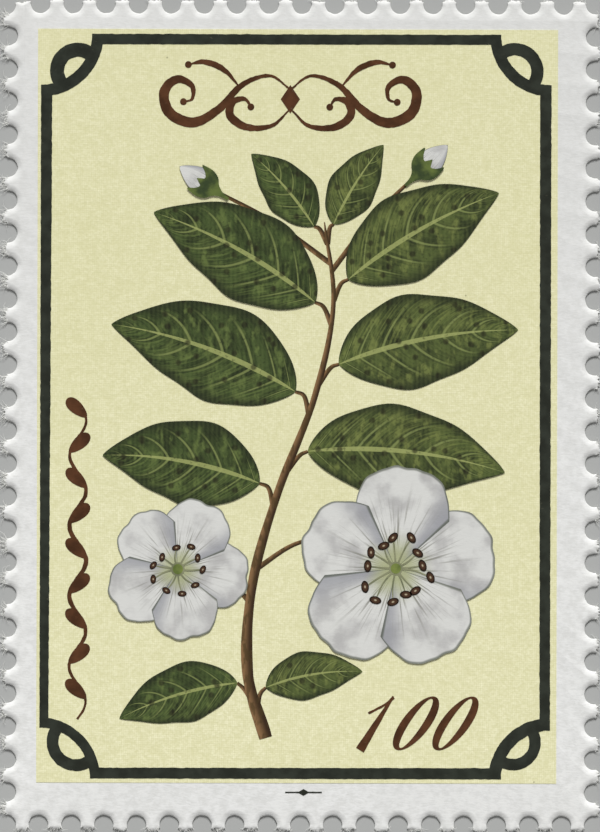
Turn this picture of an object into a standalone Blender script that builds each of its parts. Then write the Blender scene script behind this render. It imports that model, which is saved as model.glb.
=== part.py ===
"""A perforated postage stamp, lying face up.

The stamp is one sheet of paper with a dry gum coat on its back and ink films on its face: a tint panel,
a frame line with looped corners, a flowering branch, a flourish, a side vine and a plain figure.
+Z is up out of the printed face, +Y points to the top of the print, and the origin is under the middle
of the back. Drawing is done in millimetres from the middle of the stamp, and solids are made in metres.
"""

import math
import random

import bmesh
import bpy
from mathutils import Matrix, Vector
from mathutils.geometry import delaunay_2d_cdt

MM = 0.001

# Perforation: a comb of round pins, 14 holes to 20 mm
PITCH_X = 1.4255
PITCH_Y = 1.4335
TEETH_X = 18
TEETH_Y = 25
PIN_RADIUS = 0.420
PIN_INSET = 0.022
PIN_SEGMENTS = 10
TEAR_SEED = 5
# Each side's cut runs past the half circle by an angle in degrees, and its torn tips stand out by a reach
TEAR_FOOT, TEAR_RIGHT, TEAR_HEAD, TEAR_LEFT = (20, 0.18), (12, 0.20), (14, 0.16), (2, 0.22)
TEAR_SHORTEST = 0.3
TIP_SHARES = (0.25, 0.75)

# Thickness of each layer, from the back to the face
GUM = 0.016
PAPER = 0.100
FILM = 0.008
LAYER_GAP = 0.004
PAPER_BOTTOM = GUM + LAYER_GAP
PAPER_TOP = PAPER_BOTTOM + PAPER
TINT_LAYER, LINE_LAYER, LEAF_LAYER, UPPER_LEAF_LAYER, PETAL_LAYER, STAMEN_LAYER = range(6)

# Printed panel and frame line
TINT_SIZE = (22.67, 32.86)
TINT_MIDDLE = (-0.17, 0.365)
FRAME_SIZE = (22.21, 32.41)
FRAME_MIDDLE = (-0.242, 0.351)
LOOP_OFFSET = 1.600
LINE_OVERLAP = 0.05
# Each bar's width at its start and its end, anticlockwise from the foot bar
BARS = [(0.464, 0.484), (0.458, 0.497), (0.432, 0.449), (0.493, 0.388)]
# The hand-drawn corners from the lower left: radius and width of the arc, then of the loop
CORNERS = [
    (2.427, 0.440, 1.025, 0.515),
    (2.403, 0.541, 0.955, 0.500),
    (2.440, 0.490, 0.980, 0.537),
    (2.473, 0.505, 0.905, 0.615),
]
ARC_SEGMENTS = 9
LOOP_SEGMENTS = 13

# Branch: the line of the twig from its cut foot to its tip, with its width at each end
TWIG = [(-1.5, -14.1), (-2.3, -11.2), (-2.1, -7.4), (-1.0, -3.4), (0.6, 0.8), (1.4, 4.8), (1.0, 8.4)]
TWIG_WIDTH = (0.56, 0.14)
STALK_WIDTH = (0.24, 0.14)
STALK_BEND = 0.3

# Leaves in pairs: name, where the blade starts, its heading in degrees, length, width and bend in degrees
LEAVES = [
    ("leaf_foot_left", (-2.75, -11.7), 186, 5.4, 2.6, 22),
    ("leaf_foot_right", (-1.50, -11.9), 22, 4.3, 2.1, -25),
    ("leaf_low_left", (-1.80, -3.0), 158, 7.0, 3.8, 24),
    ("leaf_low_right", (0.30, -1.6), 6, 8.7, 4.0, -24),
    ("leaf_mid_left", (-0.25, 1.0), 148, 8.6, 4.3, 24),
    ("leaf_mid_right", (1.65, 2.2), 22, 8.0, 4.1, -22),
    ("leaf_high_left", (0.60, 4.9), 140, 8.1, 4.0, 22),
    ("leaf_high_right", (2.05, 5.9), 40, 7.6, 3.8, -20),
    ("leaf_tip_left", (0.55, 8.2), 122, 4.2, 2.2, 18),
    ("leaf_tip_right", (1.40, 8.3), 66, 4.1, 2.1, -16),
]
LEAF_STEPS = 12
EDGE_WAVE = 0.03
TWIG_JOINTS = [0.080, 0.070, 0.475, 0.530, 0.635, 0.685, 0.795, 0.840, 0.955, 0.955]

# Blossoms: name, middle, petal length and turn in degrees
BLOSSOMS = [("blossom_large", (4.15, -6.7), 4.45, 12), ("blossom_small", (-5.35, -6.75), 3.15, -8)]
PETALS = 5
PETAL_STEPS = 12
PETAL_WIDTH = 0.92
NOTCH_DEPTH = 0.07
NOTCH_ANGLE = 0.22
STAMENS = 9
STAMEN_REACH = 0.36
BLOSSOM_STALKS = [(0.36, (0.9, -5.3)), (0.30, (-3.6, -7.4))]

# Buds: name, foot, heading in degrees, length and width
BUDS = [("bud_left", (-3.75, 9.75), 146, 1.9, 1.15), ("bud_right", (5.0, 10.45), 44, 1.9, 1.15)]
BUD_STALK_JOINTS = [0.915, 0.90]
BUD_STEPS = 9
CUP_HALF = [(-0.35, 0.06), (-0.15, 0.10), (0.0, 0.24), (0.10, 0.44), (0.24, 0.56), (0.40, 0.58), (0.58, 0.52),
            (0.44, 0.36), (0.36, 0.18), (0.44, 0.08)]
CUP_POINT = 0.52

# Flourish at the head of the panel, drawn for its right half and mirrored
FLOURISH_MIDDLE = (-0.5, 13.75)
FLOURISH_STROKES = [
    ([(0.0, 0.42), (0.9, 1.02), (2.1, 0.62), (3.1, -0.42), (4.2, -1.02), (5.25, -0.62), (5.5, 0.30),
      (4.95, 0.86), (4.30, 0.58), (4.28, 0.02), (4.66, -0.12)], 0.075, 0.46),
    ([(0.0, -0.42), (0.8, -1.15), (1.9, -1.22), (2.62, -0.72), (2.50, -0.12), (1.98, 0.0), (1.72, -0.34)],
     0.075, 0.36),
    ([(2.2, 0.52), (2.9, 1.28), (3.75, 1.62), (4.45, 1.50)], 0.07, 0.26),
]
FLOURISH_HEART = (0.42, 0.62)
TERMINAL_RADIUS = 0.15

# Vine up the left side of the panel
VINE_X = -9.72
VINE_FOOT, VINE_HEAD = -13.3, 0.5
VINE_WAVES = 4.5
VINE_SWAY = 0.36
VINE_WIDTH = (0.10, 0.20)
VINE_LEAF = (1.05, 0.50)
VINE_LEAF_TURN = 48
VINE_LEAF_STEPS = 12
VINE_STEPS = 54

# Plain figure at the foot of the panel
FIGURE_FOOT = (2.6, -14.62)
FIGURE_HEIGHT = 2.35
FIGURE_SLANT = 0.62
FIGURE_SPACING = 1.72
FIGURE_ROUND = 0.70
RING_STEPS = 22
THICK_STROKE, THIN_STROKE = 0.40, 0.10
FLAG = [(-0.62, 0.68), (-0.2, 0.82), (0.08, 0.97)]

# Small rule in the bottom margin
RULE_MIDDLE = (0.15, -16.47)
RULE_SIZE = (1.6, 0.30)
RULE_LINE = 0.06

PAPER_WHITE = (0.76, 0.76, 0.74)
GUM_CREAM = (0.74, 0.72, 0.66)
TINT_YELLOW = (0.73, 0.70, 0.43)
FRAME_BLACK = (0.030, 0.032, 0.024)
TWIG_BROWN = (0.16, 0.08, 0.04)
LEAF_GREEN = (0.075, 0.105, 0.035)
PETAL_WHITE = (0.67, 0.66, 0.63)
STAMEN_BROWN = (0.06, 0.03, 0.02)
SCRIPT_BROWN = (0.075, 0.036, 0.018)


def clear_scene():
    for old in list(bpy.data.objects):
        bpy.data.objects.remove(old)


def stamp_collection():
    collection = bpy.data.collections.new("postage_stamp")
    bpy.context.scene.collection.children.link(collection)
    return collection


def finish(name, colour, roughness):
    material = bpy.data.materials.new(name)
    material.use_nodes = True
    shader = material.node_tree.nodes["Principled BSDF"]
    shader.inputs["Base Color"].default_value = (*colour, 1)
    shader.inputs["Roughness"].default_value = roughness
    shader.inputs["Metallic"].default_value = 0.0
    material.diffuse_color = (*colour, 1)
    return material


def layer_bottom(layer):
    """The underside of an ink layer, in millimetres above the back of the stamp."""
    return PAPER_TOP + LAYER_GAP + layer * (FILM + LAYER_GAP)


def place(name, mesh, material, collection, at, turn=0.0):
    """A mesh drawn in millimetres becomes an object of real size, put down at a point and turned about Z."""
    mesh.transform(Matrix.Scale(MM, 4))
    mesh.name = name
    mesh.materials.append(material)
    piece = bpy.data.objects.new(name, mesh)
    piece.location = Vector(at) * MM
    piece.rotation_euler.z = turn
    collection.objects.link(piece)
    return piece


def flat_mesh(outline, thickness):
    """A flat plate with this outline, from a filled 2D curve, its underside at zero."""
    curve = bpy.data.curves.new("outline", "CURVE")
    curve.dimensions = "2D"
    curve.fill_mode = "BOTH"
    curve.extrude = thickness / 2
    spline = curve.splines.new("POLY")
    spline.points.add(len(outline) - 1)
    for point, (x, y) in zip(spline.points, outline):
        point.co = (x, y, 0, 1)
    spline.use_cyclic_u = True
    drawing = bpy.data.objects.new("drawing", curve)
    bpy.context.scene.collection.objects.link(drawing)
    graph = bpy.context.evaluated_depsgraph_get()
    mesh = bpy.data.meshes.new_from_object(drawing.evaluated_get(graph))
    bpy.data.objects.remove(drawing)
    mesh.materials.clear()
    mesh.transform(Matrix.Translation((0, 0, thickness / 2)))
    body = bmesh.new()
    body.from_mesh(mesh)
    bmesh.ops.remove_doubles(body, verts=body.verts, dist=thickness / 10)
    bmesh.ops.recalc_face_normals(body, faces=body.faces)
    body.to_mesh(mesh)
    body.free()
    return mesh


def merged_mesh(shapes, thickness):
    """A flat plate that is the union of overlapping shapes, merged in the plane by a Delaunay fill."""
    inside_only = 1
    points = [Vector(point) for shape in shapes for point in shape]
    faces = []
    start = 0
    for shape in shapes:
        faces.append(list(range(start, start + len(shape))))
        start += len(shape)
    corners_2d, _, triangles, _, _, sources = delaunay_2d_cdt(points, [], faces, inside_only, 1e-5)
    body = bmesh.new()
    corners = [body.verts.new((x, y, 0)) for x, y in corners_2d]
    for triangle, covered_by in zip(triangles, sources):
        if covered_by:
            body.faces.new([corners[i] for i in triangle])
    grown = bmesh.ops.extrude_face_region(body, geom=body.faces[:])
    raised = [part for part in grown["geom"] if isinstance(part, bmesh.types.BMVert)]
    bmesh.ops.translate(body, verts=raised, vec=(0, 0, thickness))
    loose = [corner for corner in body.verts if not corner.link_faces]
    bmesh.ops.delete(body, geom=loose, context="VERTS")
    bmesh.ops.recalc_face_normals(body, faces=body.faces)
    mesh = bpy.data.meshes.new("merged")
    body.to_mesh(mesh)
    body.free()
    return mesh


def arc(middle, radius, start, end, segments):
    """Points on a circle from one angle to another, both ends included, angles in degrees."""
    points = []
    for i in range(segments + 1):
        angle = math.radians(start + (end - start) * i / segments)
        points.append((middle[0] + radius * math.cos(angle), middle[1] + radius * math.sin(angle)))
    return points


def smooth_line(points, steps):
    """A Catmull-Rom curve through the points, with this many steps for each span."""
    ends = [2 * Vector(points[0]) - Vector(points[1])]
    ends += [Vector(point) for point in points]
    ends += [2 * Vector(points[-1]) - Vector(points[-2])]
    line = []
    for a, b, c, d in zip(ends, ends[1:], ends[2:], ends[3:]):
        for i in range(steps):
            t = i / steps
            line.append(0.5 * (2 * b + (c - a) * t + (2 * a - 5 * b + 4 * c - d) * t**2
                               + (3 * b - a - 3 * c + d) * t**3))
    line.append(Vector(points[-1]))
    return line


def side_step(line, i):
    """The unit vector across a line at one of its points, to its left."""
    along = (line[min(i + 1, len(line) - 1)] - line[max(i - 1, 0)]).normalized()
    return Vector((-along.y, along.x))


def ribbon(line, width_at):
    """Four-sided pieces that follow a line, as wide as width_at says at each share of its length."""
    last = len(line) - 1
    left, right = [], []
    for i, point in enumerate(line):
        step = side_step(line, i) * width_at(i / last) / 2
        left.append(point + step)
        right.append(point - step)
    return [[right[i], right[i + 1], left[i + 1], left[i]] for i in range(last)]


def tapered(start, end):
    return lambda share: start + (end - start) * share


def swelled(thin, thick):
    return lambda share: thin + (thick - thin) * math.sin(math.pi * share) ** 1.6


def perforated_outline():
    """The sheet's edge, anticlockwise: round notches where the pins went through, torn tips between."""
    half_x, half_y = TEETH_X * PITCH_X / 2, TEETH_Y * PITCH_Y / 2
    tear = random.Random(TEAR_SEED)
    sides = [
        ((-half_x, -half_y), 0, TEETH_X, PITCH_X, TEAR_FOOT),
        ((half_x, -half_y), 90, TEETH_Y, PITCH_Y, TEAR_RIGHT),
        ((half_x, half_y), 180, TEETH_X, PITCH_X, TEAR_HEAD),
        ((-half_x, half_y), 270, TEETH_Y, PITCH_Y, TEAR_LEFT),
    ]
    outline = []
    overrun_before = TEAR_LEFT[0]
    for corner, heading, teeth, pitch, (overrun, reach) in sides:
        along = Vector((math.cos(math.radians(heading)), math.sin(math.radians(heading))))
        outward = Vector((along.y, -along.x))
        pins_at = [PIN_INSET] + [pitch * i for i in range(1, teeth)] + [pitch * teeth - PIN_INSET]
        chord = PIN_RADIUS * math.cos(math.radians(overrun))
        cut_end = PIN_RADIUS * math.sin(math.radians(overrun)) - PIN_INSET
        for i in range(teeth):
            pin = Vector(corner) + along * pins_at[i] - outward * PIN_INSET
            if i == 0:
                start = heading + 90 + overrun_before
                outline += arc(pin, PIN_RADIUS, start, heading - overrun, PIN_SEGMENTS // 2)
            else:
                outline += arc(pin, PIN_RADIUS, heading + 180 + overrun, heading - overrun, PIN_SEGMENTS)
            bridge = pins_at[i + 1] - pins_at[i] - 2 * chord
            for share in TIP_SHARES:
                tip = Vector(corner) + along * (pins_at[i] + chord + bridge * share)
                outline.append(tip + outward * (cut_end + reach * tear.uniform(TEAR_SHORTEST, 1.0)))
        overrun_before = overrun
    return [(point[0], point[1]) for point in outline]


def frame_shapes():
    """The frame line: four bars, a hollow arc across each corner and a loop outside each arc."""
    half_x, half_y = FRAME_SIZE[0] / 2, FRAME_SIZE[1] / 2
    outward = [Vector((-1, -1)), Vector((1, -1)), Vector((1, 1)), Vector((-1, 1))]
    corners = [Vector((sign.x * half_x, sign.y * half_y)) for sign in outward]
    bars_begin = [arc_radius - arc_width / 2 + LINE_OVERLAP for arc_radius, arc_width, _, _ in CORNERS]
    shapes = []
    for turn, corner in enumerate(corners):
        arc_radius, arc_width, loop_radius, loop_width = CORNERS[turn]
        sweep = arc(corner, arc_radius, 90 * turn, 90 * turn + 90, ARC_SEGMENTS)
        shapes += ribbon([Vector(p) for p in sweep], tapered(arc_width, arc_width))
        middle = corner - outward[turn] * LOOP_OFFSET
        outside = 90 * turn + 225
        loop = arc(middle, loop_radius, outside - 90, outside + 90, LOOP_SEGMENTS)
        shapes += ribbon([Vector(p) for p in loop], tapered(loop_width, loop_width))
        following = (turn + 1) % len(corners)
        ahead = (corners[following] - corner).normalized()
        inward = Vector((-ahead.y, ahead.x))
        first = corner + ahead * bars_begin[turn]
        last = corners[following] - ahead * bars_begin[following]
        first_width, last_width = BARS[turn]
        shapes.append([first, last, last + inward * last_width, first + inward * first_width])
    return shapes


def box_shape(middle, size):
    x, y = middle
    left, right = x - size[0] / 2, x + size[0] / 2
    low, high = y - size[1] / 2, y + size[1] / 2
    return [(left, low), (right, low), (right, high), (left, high)]


def leaf_half_width(share, width):
    """Half the blade's width at a share of its length: broad below the middle, drawn out to a point."""
    return width / 2 * math.sin(math.pi * share**0.86) ** 0.82 * (1.08 - 0.22 * share)


def leaf_outline(length, width, bend):
    """A blade along +X from its foot, its midrib turning by bend degrees, with a slightly waved edge."""
    midrib = [Vector((0, 0))]
    for i in range(LEAF_STEPS):
        heading = math.radians(bend * (i + 0.5) / LEAF_STEPS)
        midrib.append(midrib[-1] + Vector((math.cos(heading), math.sin(heading))) * length / LEAF_STEPS)
    left, right = [], []
    for i in range(1, LEAF_STEPS):
        share = i / LEAF_STEPS
        step = side_step(midrib, i) * leaf_half_width(share, width)
        left.append(midrib[i] + step * (1 + EDGE_WAVE * math.sin(19 * share)))
        right.append(midrib[i] - step * (1 + EDGE_WAVE * math.sin(17 * share + 2)))
    return [midrib[0], *right, midrib[-1], *reversed(left)]


def petal_outline(length, heading):
    """A broad petal from the middle of the blossom, rounded at its end with a shallow notch."""
    along = Vector((math.cos(heading), math.sin(heading)))
    across = Vector((-along.y, along.x))
    edge = []
    for i in range(PETAL_STEPS + 1):
        angle = math.pi * (i / PETAL_STEPS - 0.5)
        notch = 1 - NOTCH_DEPTH * math.exp(-((angle / NOTCH_ANGLE) ** 2))
        reach = length * (0.50 + 0.50 * math.cos(angle) ** 0.8 * notch)
        edge.append(along * reach + across * length * PETAL_WIDTH / 2 * math.sin(angle))
    return [Vector((0, 0)), *edge]


def stamen_outline(radius):
    """The blossom's heart: a round boss with stamens standing out of it like the teeth of a wheel."""
    outline = []
    steps = STAMENS * 8
    for i in range(steps):
        angle = 2 * math.pi * i / steps
        wave = max(0.0, math.cos(STAMENS * angle))
        reach = radius * (0.46 + 0.54 * wave**0.7)
        outline.append(Vector((math.cos(angle), math.sin(angle))) * reach)
    return outline


def bud_outline(length, width):
    """A closed bud along +X from its foot, round below and drawn to a point."""
    upper = []
    for i in range(1, BUD_STEPS):
        share = i / BUD_STEPS
        upper.append(Vector((length * share, width / 2 * math.sin(math.pi * share**0.72) ** 0.8)))
    lower = [Vector((point.x, -point.y)) for point in upper]
    return [Vector((0, 0)), *lower, Vector((length, 0)), *reversed(upper)]


def calyx_outline(length, width):
    """The green cup that holds a bud: a short stalk end that swells and opens into three points."""
    lower = [Vector((length * x, -width * y)) for x, y in CUP_HALF]
    upper = [Vector((length * x, width * y)) for x, y in reversed(CUP_HALF)]
    return [*lower, Vector((length * CUP_POINT, 0)), *upper]


def on_line(line, share):
    """A point at a share of a line's points."""
    at = share * (len(line) - 1)
    i = min(int(at), len(line) - 2)
    return line[i].lerp(line[i + 1], at - i)


def twig_shapes():
    """The woody twig with a short stalk out to each leaf, blossom and bud."""
    line = smooth_line(TWIG, 4)
    shapes = ribbon(line, tapered(*TWIG_WIDTH))
    ends = [(share, leaf[1]) for share, leaf in zip(TWIG_JOINTS, LEAVES)]
    ends += BLOSSOM_STALKS + [(share, bud[1]) for share, bud in zip(BUD_STALK_JOINTS, BUDS)]
    for share, end in ends:
        foot = on_line(line, share)
        ahead = on_line(line, min(share + 0.04, 1.0)) - foot
        stalk = smooth_line([foot, foot.lerp(Vector(end), 0.5) + ahead * STALK_BEND, end], 3)
        shapes += ribbon(stalk, tapered(*STALK_WIDTH))
    return shapes


def flourish_shapes():
    """Two mirrored halves of swelling strokes with round ends, joined by a pointed heart."""
    wide, high = FLOURISH_HEART
    shapes = [[(-wide, 0), (0, -high), (wide, 0), (0, high)]]
    for side in (1, -1):
        for points, thin, thick in FLOURISH_STROKES:
            line = smooth_line([(side * x, y) for x, y in points], 4)
            shapes += ribbon(line, swelled(thin, thick))
            shapes.append(arc(line[-1], TERMINAL_RADIUS, 0, 330, 11))
    return shapes


def vine_shapes():
    """A thin stem that sways up the panel's side, with a small pointed leaf out of every bend."""
    line = []
    for i in range(VINE_STEPS + 1):
        share = i / VINE_STEPS
        sway = VINE_SWAY * math.sin(2 * math.pi * VINE_WAVES * share)
        line.append(Vector((VINE_X + sway, VINE_FOOT + (VINE_HEAD - VINE_FOOT) * share)))
    shapes = ribbon(line, swelled(*VINE_WIDTH))
    length, width = VINE_LEAF
    for bend in range(int(2 * VINE_WAVES)):
        foot = on_line(line, (bend + 0.62) / (2 * VINE_WAVES))
        side = 1 if bend % 2 else -1
        heading = math.radians(90 - side * VINE_LEAF_TURN)
        along = Vector((math.cos(heading), math.sin(heading)))
        across = Vector((-along.y, along.x))
        blade = []
        for i in range(VINE_LEAF_STEPS):
            angle = 2 * math.pi * i / VINE_LEAF_STEPS
            blade.append(foot + along * length * (0.5 - 0.56 * math.cos(angle))
                         + across * width / 2 * math.sin(angle) * (1.1 - 0.3 * math.cos(angle)))
        shapes.append(list(reversed(blade)))
    return shapes


def slanted(points):
    return [Vector((x + y * FIGURE_SLANT, y)) for x, y in points]


def one_shapes():
    """A slanting figure 1: a downstroke that is thick at its foot, and a hairline flag."""
    down = slanted([(0, 0), (0, FIGURE_HEIGHT)])
    flag = slanted([(x, FIGURE_HEIGHT * y) for x, y in FLAG])
    return ribbon(down, tapered(THICK_STROKE, THIN_STROKE)) + ribbon(flag, tapered(THIN_STROKE, THIN_STROKE))


def nought_shapes():
    """A slanting figure 0: a ring, thick at its sides and thin at its top and foot."""
    half_y = FIGURE_HEIGHT / 2
    inner, outer = [], []
    for i in range(RING_STEPS):
        x, y = math.cos(2 * math.pi * i / RING_STEPS), math.sin(2 * math.pi * i / RING_STEPS)
        outer.append((FIGURE_ROUND * x, half_y + half_y * y))
        inner.append(((FIGURE_ROUND - THICK_STROKE) * x, half_y + (half_y - THIN_STROKE) * y))
    inner, outer = slanted(inner), slanted(outer)
    return [[inner[i - 1], outer[i - 1], outer[i], inner[i]] for i in range(RING_STEPS)]


def rule_outline():
    """A small rule that swells to a point above and below its middle."""
    half_x, half_y = RULE_SIZE[0] / 2, RULE_SIZE[1] / 2
    line = RULE_LINE / 2
    below = [(-half_x, -line), (-0.2, -line), (0, -half_y), (0.2, -line), (half_x, -line)]
    above = [(half_x, line), (0.2, line), (0, half_y), (-0.2, line), (-half_x, line)]
    return below + above


def build_sheet(collection):
    edge = perforated_outline()
    gum = flat_mesh(edge, GUM)
    place("gum_coat", gum, finish("gum", GUM_CREAM, 0.35), collection, (0, 0, 0))
    sheet = flat_mesh(edge, PAPER)
    place("paper_sheet", sheet, finish("paper", PAPER_WHITE, 0.85), collection, (0, 0, PAPER_BOTTOM))


def build_panel(collection):
    tint = flat_mesh(box_shape((0, 0), TINT_SIZE), FILM)
    place("tint_panel", tint, finish("tint_ink", TINT_YELLOW, 0.7), collection,
          (*TINT_MIDDLE, layer_bottom(TINT_LAYER)))
    frame = merged_mesh(frame_shapes(), FILM)
    place("frame_line", frame, finish("frame_ink", FRAME_BLACK, 0.5), collection,
          (*FRAME_MIDDLE, layer_bottom(LINE_LAYER)))


def build_branch(collection):
    twig = merged_mesh(twig_shapes(), FILM)
    place("twig", twig, finish("twig_ink", TWIG_BROWN, 0.6), collection, (0, 0, layer_bottom(LINE_LAYER)))
    green = finish("leaf_ink", LEAF_GREEN, 0.6)
    for i, (name, foot, heading, length, width, bend) in enumerate(LEAVES):
        layer = UPPER_LEAF_LAYER if i // 2 % 2 else LEAF_LAYER
        blade = flat_mesh(leaf_outline(length, width, bend), FILM)
        place(name, blade, green, collection, (*foot, layer_bottom(layer)), math.radians(heading))
    white = finish("petal_ink", PETAL_WHITE, 0.7)
    brown = finish("stamen_ink", STAMEN_BROWN, 0.6)
    for name, middle, length, turn in BLOSSOMS:
        petals = [petal_outline(length, 2 * math.pi * i / PETALS) for i in range(PETALS)]
        place(name + "_petals", merged_mesh(petals, FILM), white, collection,
              (*middle, layer_bottom(PETAL_LAYER)), math.radians(turn))
        heart = flat_mesh(stamen_outline(length * STAMEN_REACH), FILM)
        place(name + "_stamens", heart, brown, collection,
              (*middle, layer_bottom(STAMEN_LAYER)), math.radians(turn))
    for name, foot, heading, length, width in BUDS:
        bud = flat_mesh(bud_outline(length, width), FILM)
        place(name, bud, white, collection, (*foot, layer_bottom(PETAL_LAYER)), math.radians(heading))
        cup = flat_mesh(calyx_outline(length, width), FILM)
        place(name + "_calyx", cup, green, collection,
              (*foot, layer_bottom(STAMEN_LAYER)), math.radians(heading))


def build_ornament(collection):
    brown = finish("script_ink", SCRIPT_BROWN, 0.55)
    level = layer_bottom(LINE_LAYER)
    place("flourish", merged_mesh(flourish_shapes(), FILM), brown, collection, (*FLOURISH_MIDDLE, level))
    place("side_vine", merged_mesh(vine_shapes(), FILM), brown, collection, (0, 0, level))
    for place_in_row, shapes in enumerate([one_shapes(), nought_shapes(), nought_shapes()]):
        foot = (FIGURE_FOOT[0] + FIGURE_SPACING * place_in_row, FIGURE_FOOT[1], level)
        place(f"figure_{place_in_row + 1}", merged_mesh(shapes, FILM), brown, collection, foot)
    rule = flat_mesh(rule_outline(), FILM)
    place("margin_rule", rule, finish("rule_ink", FRAME_BLACK, 0.5), collection,
          (*RULE_MIDDLE, layer_bottom(TINT_LAYER)))


def main():
    clear_scene()
    collection = stamp_collection()
    build_sheet(collection)
    build_panel(collection)
    build_branch(collection)
    build_ornament(collection)


main()
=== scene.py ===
import math
import random

import bpy
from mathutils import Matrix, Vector, noise
from mathutils.geometry import delaunay_2d_cdt


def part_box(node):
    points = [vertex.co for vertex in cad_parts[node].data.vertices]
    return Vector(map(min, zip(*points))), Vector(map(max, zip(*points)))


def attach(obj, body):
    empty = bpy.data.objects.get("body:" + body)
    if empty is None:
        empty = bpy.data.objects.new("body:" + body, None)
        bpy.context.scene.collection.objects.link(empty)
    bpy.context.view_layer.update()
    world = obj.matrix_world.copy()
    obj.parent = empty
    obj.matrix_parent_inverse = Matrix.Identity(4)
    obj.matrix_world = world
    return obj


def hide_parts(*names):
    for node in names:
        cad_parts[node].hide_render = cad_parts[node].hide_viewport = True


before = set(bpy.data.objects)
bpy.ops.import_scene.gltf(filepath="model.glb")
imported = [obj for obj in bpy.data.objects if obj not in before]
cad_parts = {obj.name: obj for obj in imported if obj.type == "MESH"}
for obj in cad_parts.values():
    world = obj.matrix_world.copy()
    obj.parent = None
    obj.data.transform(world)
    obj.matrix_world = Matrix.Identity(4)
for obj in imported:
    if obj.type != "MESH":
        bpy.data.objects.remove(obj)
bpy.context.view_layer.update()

# The gum coat: polyvinyl gum rolled onto the back of the web and dried before the sheets are perforated.
# It is a warm white, a little glossy, and finely cracked so that the stamp doesn't curl. The comb cuts it
# through with the paper, so it has the same row of pin holes and torn bridges.
MM = 0.001
PITCH_X, PITCH_Y = 1.4255, 1.4335
TEETH_X, TEETH_Y = 18, 25
PIN_RADIUS = 0.420
PIN_INSET = 0.022
PIN_STEPS = 24
BRIDGE_STEPS = 12
OVERRUN = {"foot": 20, "right": 12, "head": 14, "left": 2}
TEAR_REACH = {"foot": 0.18, "right": 0.20, "head": 0.12, "left": 0.22}
TEAR_SHORTEST = 0.3
TEAR_LEAN = 0.9
TEAR_ROUND = 0.7
TEAR_STEP_IN = 0.7
TEAR_JAG = (-0.48, 0.25)
JAG_FADES_IN = 0.05
TEAR_SEED = 5
EDGE_WOBBLE = 0.020
WOBBLES_PER_MM = 5.0
CORNER_DRIFT = {"left": (0.07, 0.10)}
TORN_SHORT = {("head", 17): 0.14}
GUM_STEP_IN = 0.02


def flat(x, y):
    return Vector((x, y, 0.0))


half_x, half_y = TEETH_X * PITCH_X / 2, TEETH_Y * PITCH_Y / 2
EDGE_SIDES = [
    ("foot", (-half_x, -half_y), 0, TEETH_X, PITCH_X),
    ("right", (half_x, -half_y), 90, TEETH_Y, PITCH_Y),
    ("head", (half_x, half_y), 180, TEETH_X, PITCH_X),
    ("left", (-half_x, half_y), 270, TEETH_Y, PITCH_Y),
]


def past_line(overrun, step_in):
    """How far past the row's centre line a pin's cut runs before the tear, in mm, and as an angle."""
    reach = PIN_RADIUS * math.sin(math.radians(overrun)) - TEAR_STEP_IN * step_in
    return reach, math.degrees(math.asin(reach / (PIN_RADIUS + step_in)))


def comb_edge(step_in, height):
    """The perforated edge, anticlockwise and stepped in from the cut: clean pin holes, torn bridges.

    The pin at the upper left corner missed its row a little, and the bridge beside it tore off short.
    """
    tear = random.Random(TEAR_SEED)
    radius = PIN_RADIUS + step_in
    edge = []
    side_before = "left"
    for side, corner, heading, teeth, pitch in EDGE_SIDES:
        along = flat(math.cos(math.radians(heading)), math.sin(math.radians(heading)))
        outward = flat(along.y, -along.x)
        reach, past = past_line(OVERRUN[side], step_in)
        pins_at = [PIN_INSET] + [pitch * pin for pin in range(1, teeth)] + [pitch * teeth - PIN_INSET]
        drift_along, drift_out = CORNER_DRIFT.get(side, (0, 0))
        pins_at[0] += drift_along
        for tooth in range(teeth):
            pin = flat(*corner) + along * pins_at[tooth] - outward * PIN_INSET
            start, steps = heading + 180 + past, PIN_STEPS
            if tooth == 0:
                pin += outward * drift_out
                start, steps = heading + 90 + past_line(OVERRUN[side_before], step_in)[1], PIN_STEPS // 2
            for i in range(steps + 1):
                angle = math.radians(start + (heading - past - start) * i / steps)
                rim = flat(math.cos(angle), math.sin(angle))
                ragged = EDGE_WOBBLE * noise.noise((pin + rim * PIN_RADIUS) * WOBBLES_PER_MM)
                edge.append(pin + rim * (radius + ragged))
            length = TEAR_REACH[side] * tear.uniform(TEAR_SHORTEST, 1.0) - TORN_SHORT.get((side, tooth), 0)
            lean = tear.uniform(-TEAR_LEAN, TEAR_LEAN)
            chord = radius * math.cos(math.radians(past))
            bridge = pins_at[tooth + 1] - pins_at[tooth] - 2 * chord
            for i in range(1, BRIDGE_STEPS):
                share = i / BRIDGE_STEPS
                swell = math.sin(math.pi * share) ** TEAR_ROUND * (1 + lean * (share - 0.5))
                jag = TEAR_REACH[side] * tear.uniform(*TEAR_JAG) * math.exp(-step_in / JAG_FADES_IN)
                edge.append(pin + along * (chord + bridge * share) + outward * (reach + length * swell + jag))
        side_before = side
    return [Vector((spot.x * MM, spot.y * MM, height)) for spot in edge]


def linear(colour):
    """An sRGB hex colour as the linear RGBA that a shader takes."""
    channels = []
    for i in (0, 2, 4):
        value = int(colour[i:i + 2], 16) / 255
        channels.append(value / 12.92 if value <= 0.04045 else ((value + 0.055) / 1.055) ** 2.4)
    return (*channels, 1.0)


def new_material(name, roughness, specular):
    """A named material, its node tree and its Principled shader, with the uniform values set."""
    material = bpy.data.materials.new(name)
    material.use_nodes = True
    shader = material.node_tree.nodes["Principled BSDF"]
    shader.inputs["Roughness"].default_value = roughness
    shader.inputs["Specular IOR Level"].default_value = specular
    return material, material.node_tree, shader


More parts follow.
